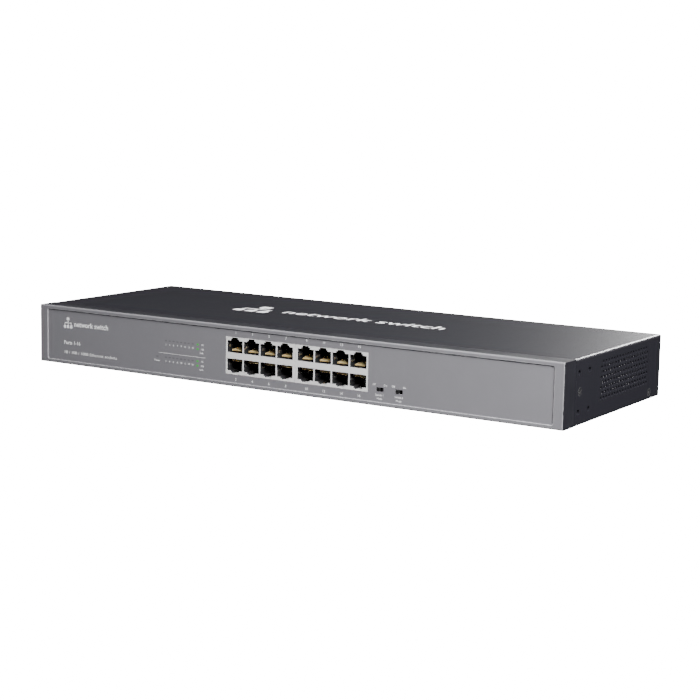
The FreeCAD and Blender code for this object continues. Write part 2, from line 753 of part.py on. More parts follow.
def transformer_core():
    """Ferrite E-cores: a frame around the winding with a centre leg through it."""
    x, depth = TRANSFORMER
    bottom = BOARD_Z[1] + 4.0
    block = pillar(x, depth, (26, 11), (bottom, bottom + 22))
    windows = [box(around(x + side * 8.0, 6.5), (0, 200), (bottom + 4, bottom + 18)) for side in (-1, 1)]
    return drilled(block, windows)


def transformer_winding():
    """The taped winding on its bobbin, around the core's centre leg."""
    x, depth = TRANSFORMER
    bottom = BOARD_Z[1] + 8.2
    top = bottom + 13.6
    wound = box(around(x, 22.0), around(depth, 21.0), (bottom, top))
    wound = wound.makeFillet(3.0, edges_along(wound, UPWARD))
    leg = box(around(x, 9.6), around(depth, 11.1), (bottom, top))
    sides = [box(around(x + side * 15.3, 8.1), around(depth, 11.1), (bottom, top)) for side in (-1, 1)]
    return drilled(wound, [leg] + sides)


def transformer_pins():
    x, depth = TRANSFORMER
    pins = []
    for side in (-1, 1):
        for number in range(5):
            place = (x + (number - 2) * 4.0, depth + side * 9.0, BOARD_Z[1])
            pins.append(rod(0.5, place, UPWARD, 8.2))
    return pins


def choke_core():
    """A square ferrite ring standing on edge."""
    x, depth = CHOKE
    bottom = BOARD_Z[1] + 1.0
    ring = pillar(x, depth, CHOKE_RING[:2], (bottom, bottom + CHOKE_RING[2]))
    hole_z = (bottom + CHOKE_LEG, bottom + CHOKE_RING[2] - CHOKE_LEG)
    return ring.cut(box((0, HALF), around(depth, CHOKE_RING[1] - 2 * CHOKE_LEG), hole_z))


def choke_windings():
    """Two ribbed coils of enamelled wire on the ring's upright legs, open towards each other."""
    x, depth = CHOKE
    bottom = BOARD_Z[1] + 1.0 + CHOKE_LEG
    height = CHOKE_RING[2] - 2 * CHOKE_LEG
    wire = height / CHOKE_TURNS / 2
    coils = []
    for side in (-1, 1):
        middle = depth + side * (CHOKE_RING[1] - CHOKE_LEG) / 2
        sleeve = rod(CHOKE_COIL_RADIUS, (x, middle, bottom), UPWARD, height)
        rings = []
        for turn in range(CHOKE_TURNS):
            z = bottom + wire * (2 * turn + 1)
            rings.append(Part.makeTorus(CHOKE_COIL_RADIUS, wire, point((x, middle, z)), UPWARD))
        leg = box(around(x, CHOKE_RING[0]), around(middle, CHOKE_LEG), (0, HEIGHT))
        near, far = sorted((depth + side * 0.2, depth + side * 20))
        half_space = box(around(x, 20), (near, far), (0, HEIGHT))
        coils.append(joined([sleeve] + rings).cut(leg).common(half_space))
    return coils


def fuse():
    """A glass tube fuse with metal caps, lying front to rear."""
    x, z = 204.0, BOARD_Z[1] + 5.0
    start = 82.0
    length = 20.0
    cap = 5.0
    glass = rod(2.3, (x, start + 0.5, z), REARWARD, length - 1)
    bore = rod(1.9, (x, start, z), REARWARD, length)
    caps = []
    for first in (start, start + length - cap):
        tube = rod(2.6, (x, first, z), REARWARD, cap).cut(rod(2.3, (x, first - 1, z), REARWARD, cap + 2))
        clip = box(around(x, 3), (first + 1, first + cap - 1), (BOARD_Z[1], z - 2.2))
        caps.append(tube.fuse(clip.cut(rod(2.5, (x, first, z), REARWARD, cap))))
    return glass.cut(bore), caps


def upright_fins(x, depth, length, height):
    """A comb-shaped aluminium heat sink standing along x."""
    plate_rear = depth + 2.5
    fin_rear = depth + 8
    fin_thick = 1.2
    count = 6
    z_range = (BOARD_Z[1] + 0.5, BOARD_Z[1] + height)
    parts = [box(around(x, length), (depth, plate_rear), z_range)]
    for number in range(count):
        fin_x = x - (length - fin_thick) / 2 + number * (length - fin_thick) / (count - 1)
        parts.append(box(around(fin_x, fin_thick), (plate_rear, fin_rear), z_range))
    return joined(parts)


def power_transistor(x, depth, bottom):
    """A tab-mounted transistor: moulded body and three legs."""
    body = box(around(x, 10.2), (depth - 4.4, depth), (bottom, bottom + 15))
    legs = [box(around(x + offset, 0.8), (depth - 2.6, depth - 1.9), (BOARD_Z[1], bottom))
            for offset in (-2.54, 0, 2.54)]
    return joined([body] + legs)


SINK_PLACES = ((193.0, 62.0, 26.0), (150.0, 52.0, 24.0))


# ---- power inlet and leads ----


def inlet_outline(size, chamfer, length, start_depth):
    """A horizontal prism with its two upper corners cut off, running rearward."""
    half_width = size[0] / 2
    low = INLET_Z - size[1] / 2
    high = INLET_Z + size[1] / 2
    corners = [
        (INLET_X - half_width, low),
        (INLET_X + half_width, low),
        (INLET_X + half_width, high - chamfer),
        (INLET_X + half_width - chamfer, high),
        (INLET_X - half_width + chamfer, high),
        (INLET_X - half_width, high - chamfer),
    ]
    places = [point((x, start_depth, z)) for x, z in corners]
    return Part.Face(Part.makePolygon(places + places[:1])).extrude(Vector(0, length, 0))


def power_inlet():
    """A screw-mounted appliance inlet: flange outside the rear wall, body inside it."""
    outer_face = CASE_DEPTH + REAR_PROUD
    flange = rounded_tile(
        around(INLET_X, INLET_FLANGE[0]), (CASE_DEPTH, outer_face), around(INLET_Z, INLET_FLANGE[1]), 4.0
    )
    flange = flange.makeFillet(0.5, edges_at_depth(flange, outer_face))
    body = box(
        around(INLET_X, INLET_BODY[0] - 0.2),
        (CASE_DEPTH - INLET_BODY_LENGTH, CASE_DEPTH),
        around(INLET_Z, INLET_BODY[1] - 0.2),
    )
    cavity = inlet_outline(INLET_MOUTH, INLET_CHAMFER, 40, outer_face - INLET_CAVITY)
    cuts = [cavity]
    for x, z in BLADES:
        cuts.append(box(around(INLET_X + x, BLADE[0]), (0, CASE_DEPTH), around(INLET_Z + z, BLADE[1])))
    for x in around(INLET_X, INLET_SCREW_SPACING):
        cone = Part.makeCone(SCREW_RADIUS + 0.1, 2.9, 1.5, Vector(0, 0, -1.5))
        cuts.append(turned(cone, REARWARD, (x, outer_face, INLET_Z)))
        cuts.append(rod(SCREW_RADIUS + 0.1, (x, CASE_DEPTH - 1, INLET_Z), REARWARD, 5))
    return drilled(flange.fuse(body), cuts)


def inlet_blades():
    """Live, neutral and earth blades, each with a solder tail inside the case."""
    blades = []
    tip = CASE_DEPTH + REAR_PROUD - BLADE_TIP
    root = CASE_DEPTH - INLET_BODY_LENGTH
    for x, z in BLADES:
        blade = box(around(INLET_X + x, BLADE[0]), (root, tip), around(INLET_Z + z, BLADE[1]))
        blade = blade.makeChamfer(0.6, edges_at_depth(blade, tip))
        tail = box(around(INLET_X + x, TAIL[0]), (root - TAIL[2], root), around(INLET_Z + z, TAIL[1]))
        blades.append(blade.fuse(tail))
    return blades


def inlet_sleeves():
    """Insulated push-on terminals over the three tails."""
    sleeves = []
    root = CASE_DEPTH - INLET_BODY_LENGTH
    for x, z in BLADES:
        shell = box(around(INLET_X + x, 3.0), (root - TAIL[2] - 5, root - 0.5), around(INLET_Z + z, 6.6))
        shell = shell.makeFillet(0.8, edges_along(shell, REARWARD))
        slot = box(around(INLET_X + x, TAIL[0]), (root - TAIL[2], root), around(INLET_Z + z, TAIL[1]))
        bore = rod(MAINS_LEAD, (INLET_X + x, root - TAIL[2] - 6, INLET_Z + z), REARWARD, 4)
        sleeves.append(drilled(shell, [slot, bore]))
    return sleeves


MAINS_LEAD = 1.1
DC_LEAD = 0.85
BEND_SHARE = 0.45
LUG_REACH = 8.0
LUG_STAND = 7.0


def lead(places, radius):
    """The insulation of a wire along straight runs joined by tangent arcs."""
    corners = [point(place) for place in places]
    runs = []
    start = corners[0]
    for before, corner, after in zip(corners, corners[1:], corners[2:]):
        into = (corner - before).normalize()
        out = (after - corner).normalize()
        half_turn = into.getAngle(out) / 2
        trim = BEND_SHARE * min((corner - before).Length, (after - corner).Length)
        bend = trim / math.tan(half_turn)
        inward = (out - into).normalize()
        middle = corner + inward * (bend / math.cos(half_turn) - bend)
        arc_start = corner - into * trim
        arc_end = corner + out * trim
        runs.append(Part.LineSegment(start, arc_start).toShape())
        runs.append(Part.Arc(arc_start, middle, arc_end).toShape())
        start = arc_end
    runs.append(Part.LineSegment(start, corners[-1]).toShape())
    path = Part.Wire(runs)
    section = Part.Wire(Part.makeCircle(radius, corners[0], corners[1] - corners[0]))
    tube = path.makePipeShell([section], True, False)
    expected = math.pi * radius * radius * path.Length
    print("  lead", round(path.Length, 1), "mm, volume ratio", round(tube.Volume / expected, 4))
    return tube


def sleeve_end():
    """The depth at which a lead starts, inside the end of its push-on terminal."""
    return CASE_DEPTH - INLET_BODY_LENGTH - TAIL[2] - 4


def mains_leads():
    """Live and neutral, from the inlet's terminals to the supply's input plug."""
    start = sleeve_end()
    end_depth = MAINS_HEADER[1]
    bottom = BOARD_Z[1] + MAINS_HEADER_SIZE[2] + PLUG_RISE - PLUG_BORE
    leads = []
    for number, (x, z) in enumerate(BLADES[:2]):
        blade_x = INLET_X + x
        blade_z = INLET_Z + z
        end_x = MAINS_HEADER[0] + (0.5 - number) * 6.0
        top = 34.0 - 6.0 * number
        places = [
            (blade_x, start, blade_z),
            (blade_x, start - 9 + 2 * number, blade_z),
            (blade_x + 11 - 5 * number, end_depth + 1.5, top - 3),
            (end_x, end_depth, top),
            (end_x, end_depth, bottom),
        ]
        leads.append(lead(places, MAINS_LEAD))
    return leads


def earth_lead():
    """From the inlet's earth terminal to the ring terminal inside the rear wall."""
    x, z = BLADES[2]
    start = sleeve_end()
    blade_x = INLET_X + x
    blade_z = INLET_Z + z
    lug_x = EARTH_SCREW[0] + LUG_REACH
    lug_depth = CASE_DEPTH - SHEET - LUG_STAND / 2
    places = [
        (blade_x, start, blade_z),
        (blade_x, start - 7, blade_z),
        (blade_x - 14, start - 4, blade_z + 2),
        (blade_x - 26, start + 13, blade_z - 4),
        (lug_x + 10, lug_depth, EARTH_SCREW[1]),
        (lug_x, lug_depth, EARTH_SCREW[1]),
    ]
    return lead(places, MAINS_LEAD)


def earth_lug():
    """A ring terminal held by the earth screw against the inside of the rear wall."""
    x, z = EARTH_SCREW
    inner = CASE_DEPTH - SHEET
    ring = rod(4.0, (x, inner - 1.0, z), REARWARD, 1.0)
    tongue = box((x, x + LUG_REACH), (inner - 1.0, inner), around(z, 4.0))
    upright = box((x + LUG_REACH - 1.0, x + LUG_REACH), (inner - LUG_STAND, inner), around(z, 4.0))
    shape = joined([ring, tongue, upright])
    bore = rod(SCREW_RADIUS + 0.05, (x, inner - 3, z), REARWARD, 6)
    return drilled(shape, [bore])


def earth_nut():
    x, z = EARTH_SCREW
    inner = CASE_DEPTH - SHEET - 1.0
    nut = turned(hexagon(5.5, 0, -FRONT, (0, 2.0)), Vector(0, -1, 0), (x, inner, z))
    return nut.cut(rod(SCREW_RADIUS, (x, inner - 5, z), REARWARD, 8))


def rear_screw(x, z, screw):
    return turned(screw, REARWARD, (x, CASE_DEPTH, z))


def dc_lead_xs(centre):
    return [centre + (number - 1.5) * 3.4 for number in range(4)]


def dc_harness():
    """Four leads from the supply's output plug to the main board's plug."""
    bottom = BOARD_Z[1] + HEADER_SIZE[2] + PLUG_RISE - PLUG_BORE
    leads = []
    starts = dc_lead_xs(SUPPLY_HEADER[0])
    ends = dc_lead_xs(BOARD_HEADER[0])
    middle_depth = (SUPPLY_HEADER[1] + BOARD_HEADER[1]) / 2
    for number, (start_x, end_x) in enumerate(zip(starts, ends)):
        crest = 38.0 - 2.2 * number
        places = [
            (start_x, SUPPLY_HEADER[1], bottom),
            (start_x, SUPPLY_HEADER[1], crest - 4),
            ((start_x + end_x) / 2, middle_depth, crest),
            (end_x, BOARD_HEADER[1], crest - 5),
            (end_x, BOARD_HEADER[1], bottom),
        ]
        leads.append(lead(places, DC_LEAD))
    return leads


def build_case():
    save("chassis_base", chassis_base())
    save("top_cover", top_cover())
    save("front_bezel", front_bezel())
    save("front_panel", front_panel())
    save("panel_label", panel_label())
    screws = []
    for side, depth, z in side_screw_places():
        screw = countersunk_screw(SIDE_SCREW_HEAD, SIDE_SCREW_SINK, 5.0)
        screws.append(turned(screw, Vector(side, 0, 0), (side * HALF, depth, z)))
    save("cover_screws", *screws)


def build_front():
    for name, side in (("left", -1), ("right", 1)):
        save("port_shield_" + name, port_shield(side))
        save("port_housing_" + name, *port_housing(side))
        save("port_contacts_" + name, *port_contacts(side))
    for name, x in zip(("left", "right"), SWITCH_XS):
        save(name + "_slide_switch", slide_switch(x))
        save(name + "_switch_knob", switch_knob(x))
    save("led_board", led_board())
    save("status_leds", *status_leds())
    save("led_baffle", led_baffle())
    save("led_board_pins", *led_board_pins())


def build_main_board():
    save("main_board", circuit_board(BOARD_X, BOARD_DEPTH, BOARD_FIXINGS))
    fixings = BOARD_FIXINGS + SUPPLY_FIXINGS
    save("board_standoffs", *[standoff(x, depth) for x, depth in fixings])
    save("board_screws", *[board_screw(x, depth) for x, depth in fixings])
    save("port_magnetics", *port_magnetics())
    chip_z = (BOARD_Z[1] + 0.1, CHIP_TOP)
    save("switch_chip", pillar(PORTS_X, CHIP_DEPTH, (24, 24), chip_z, 0.5))
    save("phy_chips", *[pillar(x, PHY_DEPTH, (18, 18), chip_z, 0.5) for x in PHY_XS])
    save("switch_heat_sink", heat_sink(PORTS_X, CHIP_DEPTH, (40, 40), 17, 11))
    save("phy_heat_sinks", *[heat_sink(x, PHY_DEPTH, (26, 22), 9, 8) for x in PHY_XS])
    save("board_capacitors", *[can(x, depth, 4.0, BOARD_Z[1], 11.5) for x, depth in CAPACITORS])
    save("power_inductors", *[pillar(x, depth, (10, 10), (BOARD_Z[1], BOARD_Z[1] + 5), 2.0)
                              for x, depth in INDUCTORS])
    save("clock_crystals", *[pillar(x, depth, (11, 4.6), (BOARD_Z[1], BOARD_Z[1] + 3.5), 2.2)
                             for x, depth in CRYSTALS])
    save("memory_chip", pillar(-20, 80, (5.3, 7.9), (BOARD_Z[1], BOARD_Z[1] + 1.9), 0.3))
    save("board_power_header", header(*BOARD_HEADER, HEADER_SIZE))


def build_power_supply():
    save("supply_board", circuit_board(SUPPLY_X, SUPPLY_DEPTH, SUPPLY_FIXINGS))
    save("insulation_sheet", supply_sheet())
    save("transformer_core", transformer_core())
    save("transformer_winding", transformer_winding())
    save("transformer_pins", *transformer_pins())
    save("bulk_capacitor", can(146, 98, 9.0, BOARD_Z[1], 30.0, 1.0))
    save("choke_core", choke_core())
    save("choke_windings", *choke_windings())
    save("line_capacitor", pillar(164, 110, (18, 8.5), (BOARD_Z[1], BOARD_Z[1] + 15), 0.8))
    save("bridge_rectifier", pillar(144, 114, (15, 3.6), (BOARD_Z[1] + 1, BOARD_Z[1] + 12)))
    glass, caps = fuse()
    save("fuse_glass", glass)
    save("fuse_caps", *caps)
    save("supply_heat_sinks", *[upright_fins(x, depth, length, 22) for x, depth, length in SINK_PLACES])
    save("power_transistors", *[power_transistor(x, depth, BOARD_Z[1] + 5) for x, depth, _ in SINK_PLACES])
    save("output_capacitors", *[can(x, 66, 5.0, BOARD_Z[1], 18.0) for x in (150, 162, 174)])
    save("supply_headers", header(*SUPPLY_HEADER, HEADER_SIZE), header(*MAINS_HEADER, MAINS_HEADER_SIZE))


def build_wiring():
    save("power_inlet", power_inlet())
    save("inlet_blades", *inlet_blades())
    save("inlet_sleeves", *inlet_sleeves())
    screws = []
    for x in around(INLET_X, INLET_SCREW_SPACING):
        place = (x, CASE_DEPTH + REAR_PROUD, INLET_Z)
        screws.append(turned(countersunk_screw(2.8, 1.5, 8.0), REARWARD, place))
    save("inlet_screws", *screws)
    save("mains_leads", *mains_leads())
    save("earth_lead", earth_lead())
    save("earth_lug", earth_lug())
    save("earth_nut", earth_nut())
    save("earth_screw", rear_screw(EARTH_SCREW[0], EARTH_SCREW[1], pan_screw(3.2, REAR_PROUD, 6.0)))
    save("dc_harness", *dc_harness())
    mains_xs = [MAINS_HEADER[0] + side * 3.0 for side in (-1, 1)]
    save("harness_plugs",
         plug(*SUPPLY_HEADER, HEADER_SIZE, dc_lead_xs(SUPPLY_HEADER[0]), DC_LEAD),
         plug(*BOARD_HEADER, HEADER_SIZE, dc_lead_xs(BOARD_HEADER[0]), DC_LEAD),
         plug(*MAINS_HEADER, MAINS_HEADER_SIZE, mains_xs, MAINS_LEAD))


os.makedirs("parts", exist_ok=True)
build_case()
build_front()
build_main_board()
build_power_supply()
build_wiring()
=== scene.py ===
import json
import math

import bmesh
import bpy
from mathutils import Matrix, Vector


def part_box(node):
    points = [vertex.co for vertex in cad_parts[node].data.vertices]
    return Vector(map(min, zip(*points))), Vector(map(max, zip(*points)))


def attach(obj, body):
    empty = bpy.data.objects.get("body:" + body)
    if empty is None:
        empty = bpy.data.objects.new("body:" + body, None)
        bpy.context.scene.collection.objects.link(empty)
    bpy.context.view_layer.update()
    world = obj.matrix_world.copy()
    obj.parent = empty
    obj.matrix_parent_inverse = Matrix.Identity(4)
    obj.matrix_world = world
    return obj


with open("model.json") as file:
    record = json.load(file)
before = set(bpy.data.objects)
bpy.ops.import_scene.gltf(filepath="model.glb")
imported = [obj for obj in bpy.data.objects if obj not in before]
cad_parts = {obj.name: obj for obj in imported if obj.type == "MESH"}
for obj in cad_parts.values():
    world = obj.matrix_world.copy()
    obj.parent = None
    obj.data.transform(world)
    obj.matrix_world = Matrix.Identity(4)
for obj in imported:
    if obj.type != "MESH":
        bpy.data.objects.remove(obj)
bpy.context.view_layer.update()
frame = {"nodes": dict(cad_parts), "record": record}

# Metres, in the CAD's frame: +X right along the front, +Y to the rear, +Z up.
MM = 0.001

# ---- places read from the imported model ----

LABEL_LOW, LABEL_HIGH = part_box("panel_label")
PANEL_LOW, PANEL_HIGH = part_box("front_panel")
COVER_LOW, COVER_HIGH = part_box("top_cover")
BLOCKS = [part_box("port_shield_left"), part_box("port_shield_right")]
SWITCHES = [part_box("left_slide_switch"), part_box("right_slide_switch")]
LIGHTS_LOW, LIGHTS_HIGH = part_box("status_leds")
FRONT = PANEL_LOW.y
REAR = COVER_HIGH.y

# ---- socket sizes, as in the CAD ----

PORT_PITCH = 14.3 * MM
PORT_SHIFT = 0.3 * MM
PORTS_PER_ROW = 4
PORT_OPENING = 13.3 * MM
OPENING_HEIGHT = 8.7 * MM
ROW_BAR = 4.4 * MM
PORTS_Z = (BLOCKS[0][0].z + BLOCKS[0][1].z) / 2
PORT_FACE = BLOCKS[0][0].y
CONTACT_PITCH = 1.02 * MM
CONTACTS = 8

# ---- print ----

INK = 0.03 * MM
NUMBER_HEIGHT = 1.75 * MM
SMALL_PRINT = 1.3 * MM

WHITE_INK = (0.95, 0.95, 0.96)
GREEN_INK = (0.05, 0.36, 0.06)


# ======== materials ========


def node(tree, kind, **settings):
    made = tree.nodes.new("ShaderNode" + kind)
    for name, value in settings.items():
        setattr(made, name, value)
    return made


def noise(tree, scale, detail=2.0, stretch=(1, 1, 1)):
    """Noise over the object's own coordinates; scale counts features to the metre."""
    place = node(tree, "TexCoord")
    mapping = node(tree, "Mapping")
    mapping.inputs["Scale"].default_value = stretch
    texture = node(tree, "TexNoise")
    texture.inputs["Scale"].default_value = scale
    texture.inputs["Detail"].default_value = detail
    tree.links.new(place.outputs["Object"], mapping.inputs["Vector"])
    tree.links.new(mapping.outputs["Vector"], texture.inputs["Vector"])
    return texture.outputs["Fac"]


def spread(tree, value, low, high):
    """Maps 0.3 to 0.7, where most noise lies, onto a range."""
    ranged = node(tree, "MapRange")
    ranged.inputs["From Min"].default_value = 0.3
    ranged.inputs["From Max"].default_value = 0.7
    ranged.inputs["To Min"].default_value = low
    ranged.inputs["To Max"].default_value = high
    tree.links.new(value, ranged.inputs["Value"])
    return ranged.outputs["Result"]


def blend_colours(tree, factor, first, second):
    mix = node(tree, "Mix", data_type="RGBA")
    tree.links.new(factor, mix.inputs["Factor"])
    for socket, colour in ((mix.inputs[6], first), (mix.inputs[7], second)):
        if isinstance(colour, bpy.types.NodeSocket):
            tree.links.new(colour, socket)
        else:
            socket.default_value = (*colour, 1)
    return mix.outputs[2]


def scaled(colour, factor):
    return tuple(min(1.0, channel * factor) for channel in colour)


def edge_wear_and_highlight(tree, radius):
    """1 along sharp edges, 0 on flats, broken up by noise: a mask for worn edges and, on the grey panel, for
    a painted highlight.
    """
    bevel = node(tree, "Bevel")
    bevel.samples = 4
    bevel.inputs["Radius"].default_value = radius
    geometry = node(tree, "NewGeometry")
    dot = node(tree, "VectorMath", operation="DOT_PRODUCT")
    tree.links.new(bevel.outputs["Normal"], dot.inputs[0])
    tree.links.new(geometry.outputs["Normal"], dot.inputs[1])
    ranged = node(tree, "MapRange")
    ranged.inputs["From Min"].default_value = 0.995
    ranged.inputs["From Max"].default_value = 0.80
    tree.links.new(dot.outputs["Value"], ranged.inputs["Value"])
    patchy = node(tree, "Math", operation="MULTIPLY")
    tree.links.new(ranged.outputs["Result"], patchy.inputs[0])
    tree.links.new(spread(tree, noise(tree, 160, 4), 0.35, 1.0), patchy.inputs[1])
    return patchy.outputs["Value"]


def surface(name, colour, roughness, tone=0.12, tone_scale=60, grain=2500, grain_depth=0.01,
            peel=0.0, metallic=0.0, coat=0.0, stretch=(1, 1, 1), wear_and_highlight=None,
            rough_spread=0.12):
    """A finish whose colour, roughness and bump all vary. tone_scale and grain count features to the
    metre; grain_depth and peel are the depths of the fine and the broad relief, in millimetres; tone
    and rough_spread are the shares by which colour and roughness vary."""
    material = bpy.data.materials.new(name)
    material.use_nodes = True
    tree = material.node_tree
    shader = tree.nodes["Principled BSDF"]
    shader.inputs["Metallic"].default_value = metallic
    shader.inputs["Coat Weight"].default_value = coat
    shader.inputs["Coat Roughness"].default_value = 0.12
    broad = noise(tree, tone_scale, 3, stretch)
    base = blend_colours(tree, broad, scaled(colour, 1 - tone), scaled(colour, 1 + tone))
    fine = noise(tree, grain, 2, stretch)
    base = blend_colours(tree, spread(tree, fine, 0.0, 0.25), base, scaled(colour, 1.35))
    # Paler colour along sharp edges: on the grey panel a painted highlight for the light line along its
    # rounded top edge, on the screws bare metal where the paint is worn, elsewhere simply paler edges.
    if wear_and_highlight:
        wear_and_highlight_colour, radius = wear_and_highlight
        base = blend_colours(tree, edge_wear_and_highlight(tree, radius), base, wear_and_highlight_colour)
    tree.links.new(base, shader.inputs["Base Color"])
    smoothest = roughness * (1 - rough_spread)
    roughest = min(1.0, roughness * (1 + rough_spread))
    rough = spread(tree, broad, smoothest, roughest)
    tree.links.new(rough, shader.inputs["Roughness"])
    relief = node(tree, "Bump")
    relief.inputs["Strength"].default_value = 1.0
    relief.inputs["Distance"].default_value = grain_depth * MM
    tree.links.new(fine, relief.inputs["Height"])
    if peel:
        waves = node(tree, "Bump")
        waves.inputs["Distance"].default_value = peel * MM
        tree.links.new(noise(tree, 420, 1, stretch), waves.inputs["Height"])
        tree.links.new(waves.outputs["Normal"], relief.inputs["Normal"])
    tree.links.new(relief.outputs["Normal"], shader.inputs["Normal"])
    return material


def banded(name, first, second, roughness, direction, pitch, metallic=0.0):
    """A finish in stripes: windings, tape, or a wire's tracer."""
    material = surface(name, first, roughness, metallic=metallic)
    tree = material.node_tree
    shader = tree.nodes["Principled BSDF"]
    place = node(tree, "TexCoord")
    wave = node(tree, "TexWave", bands_direction=direction)
    wave.inputs["Scale"].default_value = 1 / (pitch * MM) / 20 * math.pi
    tree.links.new(place.outputs["Object"], wave.inputs["Vector"])
    base = shader.inputs["Base Color"].links[0].from_socket
    stripes = blend_colours(tree, wave.outputs["Fac"], base, second)
    tree.links.new(stripes, shader.inputs["Base Color"])
    return material


def circuit(name, mask, trace):
    """Solder mask over copper, with a paler tone along broken diagonal traces."""
    material = surface(name, mask, 0.38, tone=0.15, grain=1800, coat=0.3)
    tree = material.node_tree
    shader = tree.nodes["Principled BSDF"]
    place = node(tree, "TexCoord")
    cells = node(tree, "TexVoronoi", distance="MANHATTAN", feature="F1")
    cells.inputs["Scale"].default_value = 130
    tree.links.new(place.outputs["Object"], cells.inputs["Vector"])
    lines = node(tree, "TexWave", bands_direction="DIAGONAL")
    lines.inputs["Scale"].default_value = 120
    lines.inputs["Distortion"].default_value = 2.0
    tree.links.new(cells.outputs["Color"], lines.inputs["Vector"])
    base = shader.inputs["Base Color"].links[0].from_socket
    tree.links.new(blend_colours(tree, lines.outputs["Fac"], base, trace), shader.inputs["Base Color"])
    return material


def clear_material(name, colour, roughness):
    material = surface(name, colour, roughness, tone=0.03)
    shader = material.node_tree.nodes["Principled BSDF"]
    shader.inputs["Transmission Weight"].default_value = 0.9
    shader.inputs["IOR"].default_value = 1.5
    return material


def make_materials():
    """One finish for each of the record's material slots."""
    bare = (0.30, 0.30, 0.31)
    return {
        "case_black": surface("case_black", (0.0112, 0.0108, 0.0148), 0.35, tone=0.04, tone_scale=400,
                              grain=1700, grain_depth=0.009, rough_spread=0.03),
        "bezel_black": surface("bezel_black", (0.0100, 0.0097, 0.0135), 0.42, tone=0.08, grain=3200,
                               grain_depth=0.012, peel=0.006, wear_and_highlight=((0.045, 0.045, 0.05), 0.0004)),
        # The grey panel's near-white edge colour is a painted highlight: it stands for the light line along
        # the panel's rounded top edge.
        "panel_grey": surface("panel_grey", (0.200, 0.196, 0.214), 0.38, tone=0.03, grain=4200,
                              grain_depth=0.004, metallic=0.20,
                              wear_and_highlight=((0.80, 0.80, 0.82), 0.0010)),
        "label_grey": surface("label_grey", (0.190, 0.186, 0.203), 0.42, tone=0.03, grain=4200,
                              grain_depth=0.004, metallic=0.15),
        "tin_plate": surface("tin_plate", (0.93, 0.93, 0.925), 0.34, tone=0.03, tone_scale=90,
                             grain=1500, grain_depth=0.004, metallic=0.30, stretch=(0.15, 1, 1),
                             wear_and_highlight=((0.95, 0.95, 0.95), 0.0002)),
        "moulded_black": surface("moulded_black", (0.010, 0.010, 0.011), 0.48, grain=3000,
                                 grain_depth=0.010),
        "switch_black": surface("switch_black", (0.009, 0.009, 0.010), 0.36, grain=3500,
                                grain_depth=0.006, wear_and_highlight=((0.03, 0.03, 0.03), 0.0002)),
        "gold_plate": surface("gold_plate", (0.95, 0.72, 0.36), 0.40, tone=0.05, grain=2500,
                              grain_depth=0.003, metallic=0.7),
        "screw_black": surface("screw_black", (0.020, 0.020, 0.022), 0.36, grain=1800,
                               grain_depth=0.008, metallic=0.4, wear_and_highlight=(bare, 0.0003)),
        "zinc_steel": surface("zinc_steel", (0.60, 0.60, 0.58), 0.30, grain=1500, grain_depth=0.006,
                              metallic=1.0),
        "circuit_green": circuit("circuit_green", (0.010, 0.085, 0.035), (0.020, 0.14, 0.06)),
        "circuit_tan": surface("circuit_tan", (0.42, 0.30, 0.13), 0.55, tone=0.2, grain=900),
        "chip_black": surface("chip_black", (0.016, 0.016, 0.017), 0.55, grain=2800,
                              grain_depth=0.012),
        "sink_aluminium": surface("sink_aluminium", (0.72, 0.73, 0.74), 0.32, grain=1200,
                                  grain_depth=0.008, metallic=1.0, stretch=(1, 0.05, 1)),
        "can_sleeve": surface("can_sleeve", (0.018, 0.020, 0.050), 0.24, tone=0.15, coat=0.4),
        "connector_white": surface("connector_white", (0.76, 0.74, 0.68), 0.45, grain=2500,
                                   grain_depth=0.008),
        "insulation_film": surface("insulation_film", (0.60, 0.60, 0.58), 0.40, tone=0.06),
        "ferrite_grey": surface("ferrite_grey", (0.050, 0.048, 0.050), 0.62, grain=1600,
                                grain_depth=0.02),
        "tape_yellow": banded("tape_yellow", (0.72, 0.52, 0.06), (0.60, 0.42, 0.04), 0.34, "Z", 2.4),
        "copper_enamel": banded("copper_enamel", (0.60, 0.22, 0.08), (0.36, 0.11, 0.04), 0.30, "Z",
                                1.3, 0.8),
        "tinned_pins": surface("tinned_pins", (0.72, 0.72, 0.70), 0.28, grain=1500,
                               grain_depth=0.005, metallic=1.0),
        "clear_glass": clear_material("clear_glass", (0.92, 0.95, 0.94), 0.06),
        "led_clear": surface("led_clear", (0.66, 0.68, 0.60), 0.25, coat=0.5),
        "lead_brown": surface("lead_brown", (0.17, 0.06, 0.025), 0.34, coat=0.2),
        "lead_green": banded("lead_green", (0.08, 0.36, 0.05), (0.80, 0.66, 0.05), 0.34, "X", 5.0),
        "lead_red": surface("lead_red", (0.52, 0.02, 0.015), 0.34, coat=0.2),
        "sleeve_blue": surface("sleeve_blue", (0.05, 0.10, 0.40), 0.30, coat=0.2),
    }


def paint_cad_nodes(materials):
    slots = {part["node"]: part["material_slot"] for part in frame["record"]["subparts"]}
    for name, shown in frame["nodes"].items():
        shown.data.materials.clear()
        shown.data.materials.append(materials[slots[name]])


# ======== mesh helpers ========


def add_piece(name, mesh, material, body="root"):
    piece = bpy.data.objects.new(name, mesh)
    bpy.context.scene.collection.objects.link(piece)
    mesh.materials.clear()
    mesh.materials.append(material)
    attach(piece, body)
    return piece


def mesh_from(bm, name, smooth_angle=None):
    bmesh.ops.remove_doubles(bm, verts=bm.verts, dist=1e-7)
    bmesh.ops.recalc_face_normals(bm, faces=bm.faces)
    mesh = bpy.data.meshes.new(name)
    bm.to_mesh(mesh)
    bm.free()
    if smooth_angle is not None:
        mesh.shade_smooth()
        mesh.set_sharp_from_angle(angle=math.radians(smooth_angle))
    return mesh


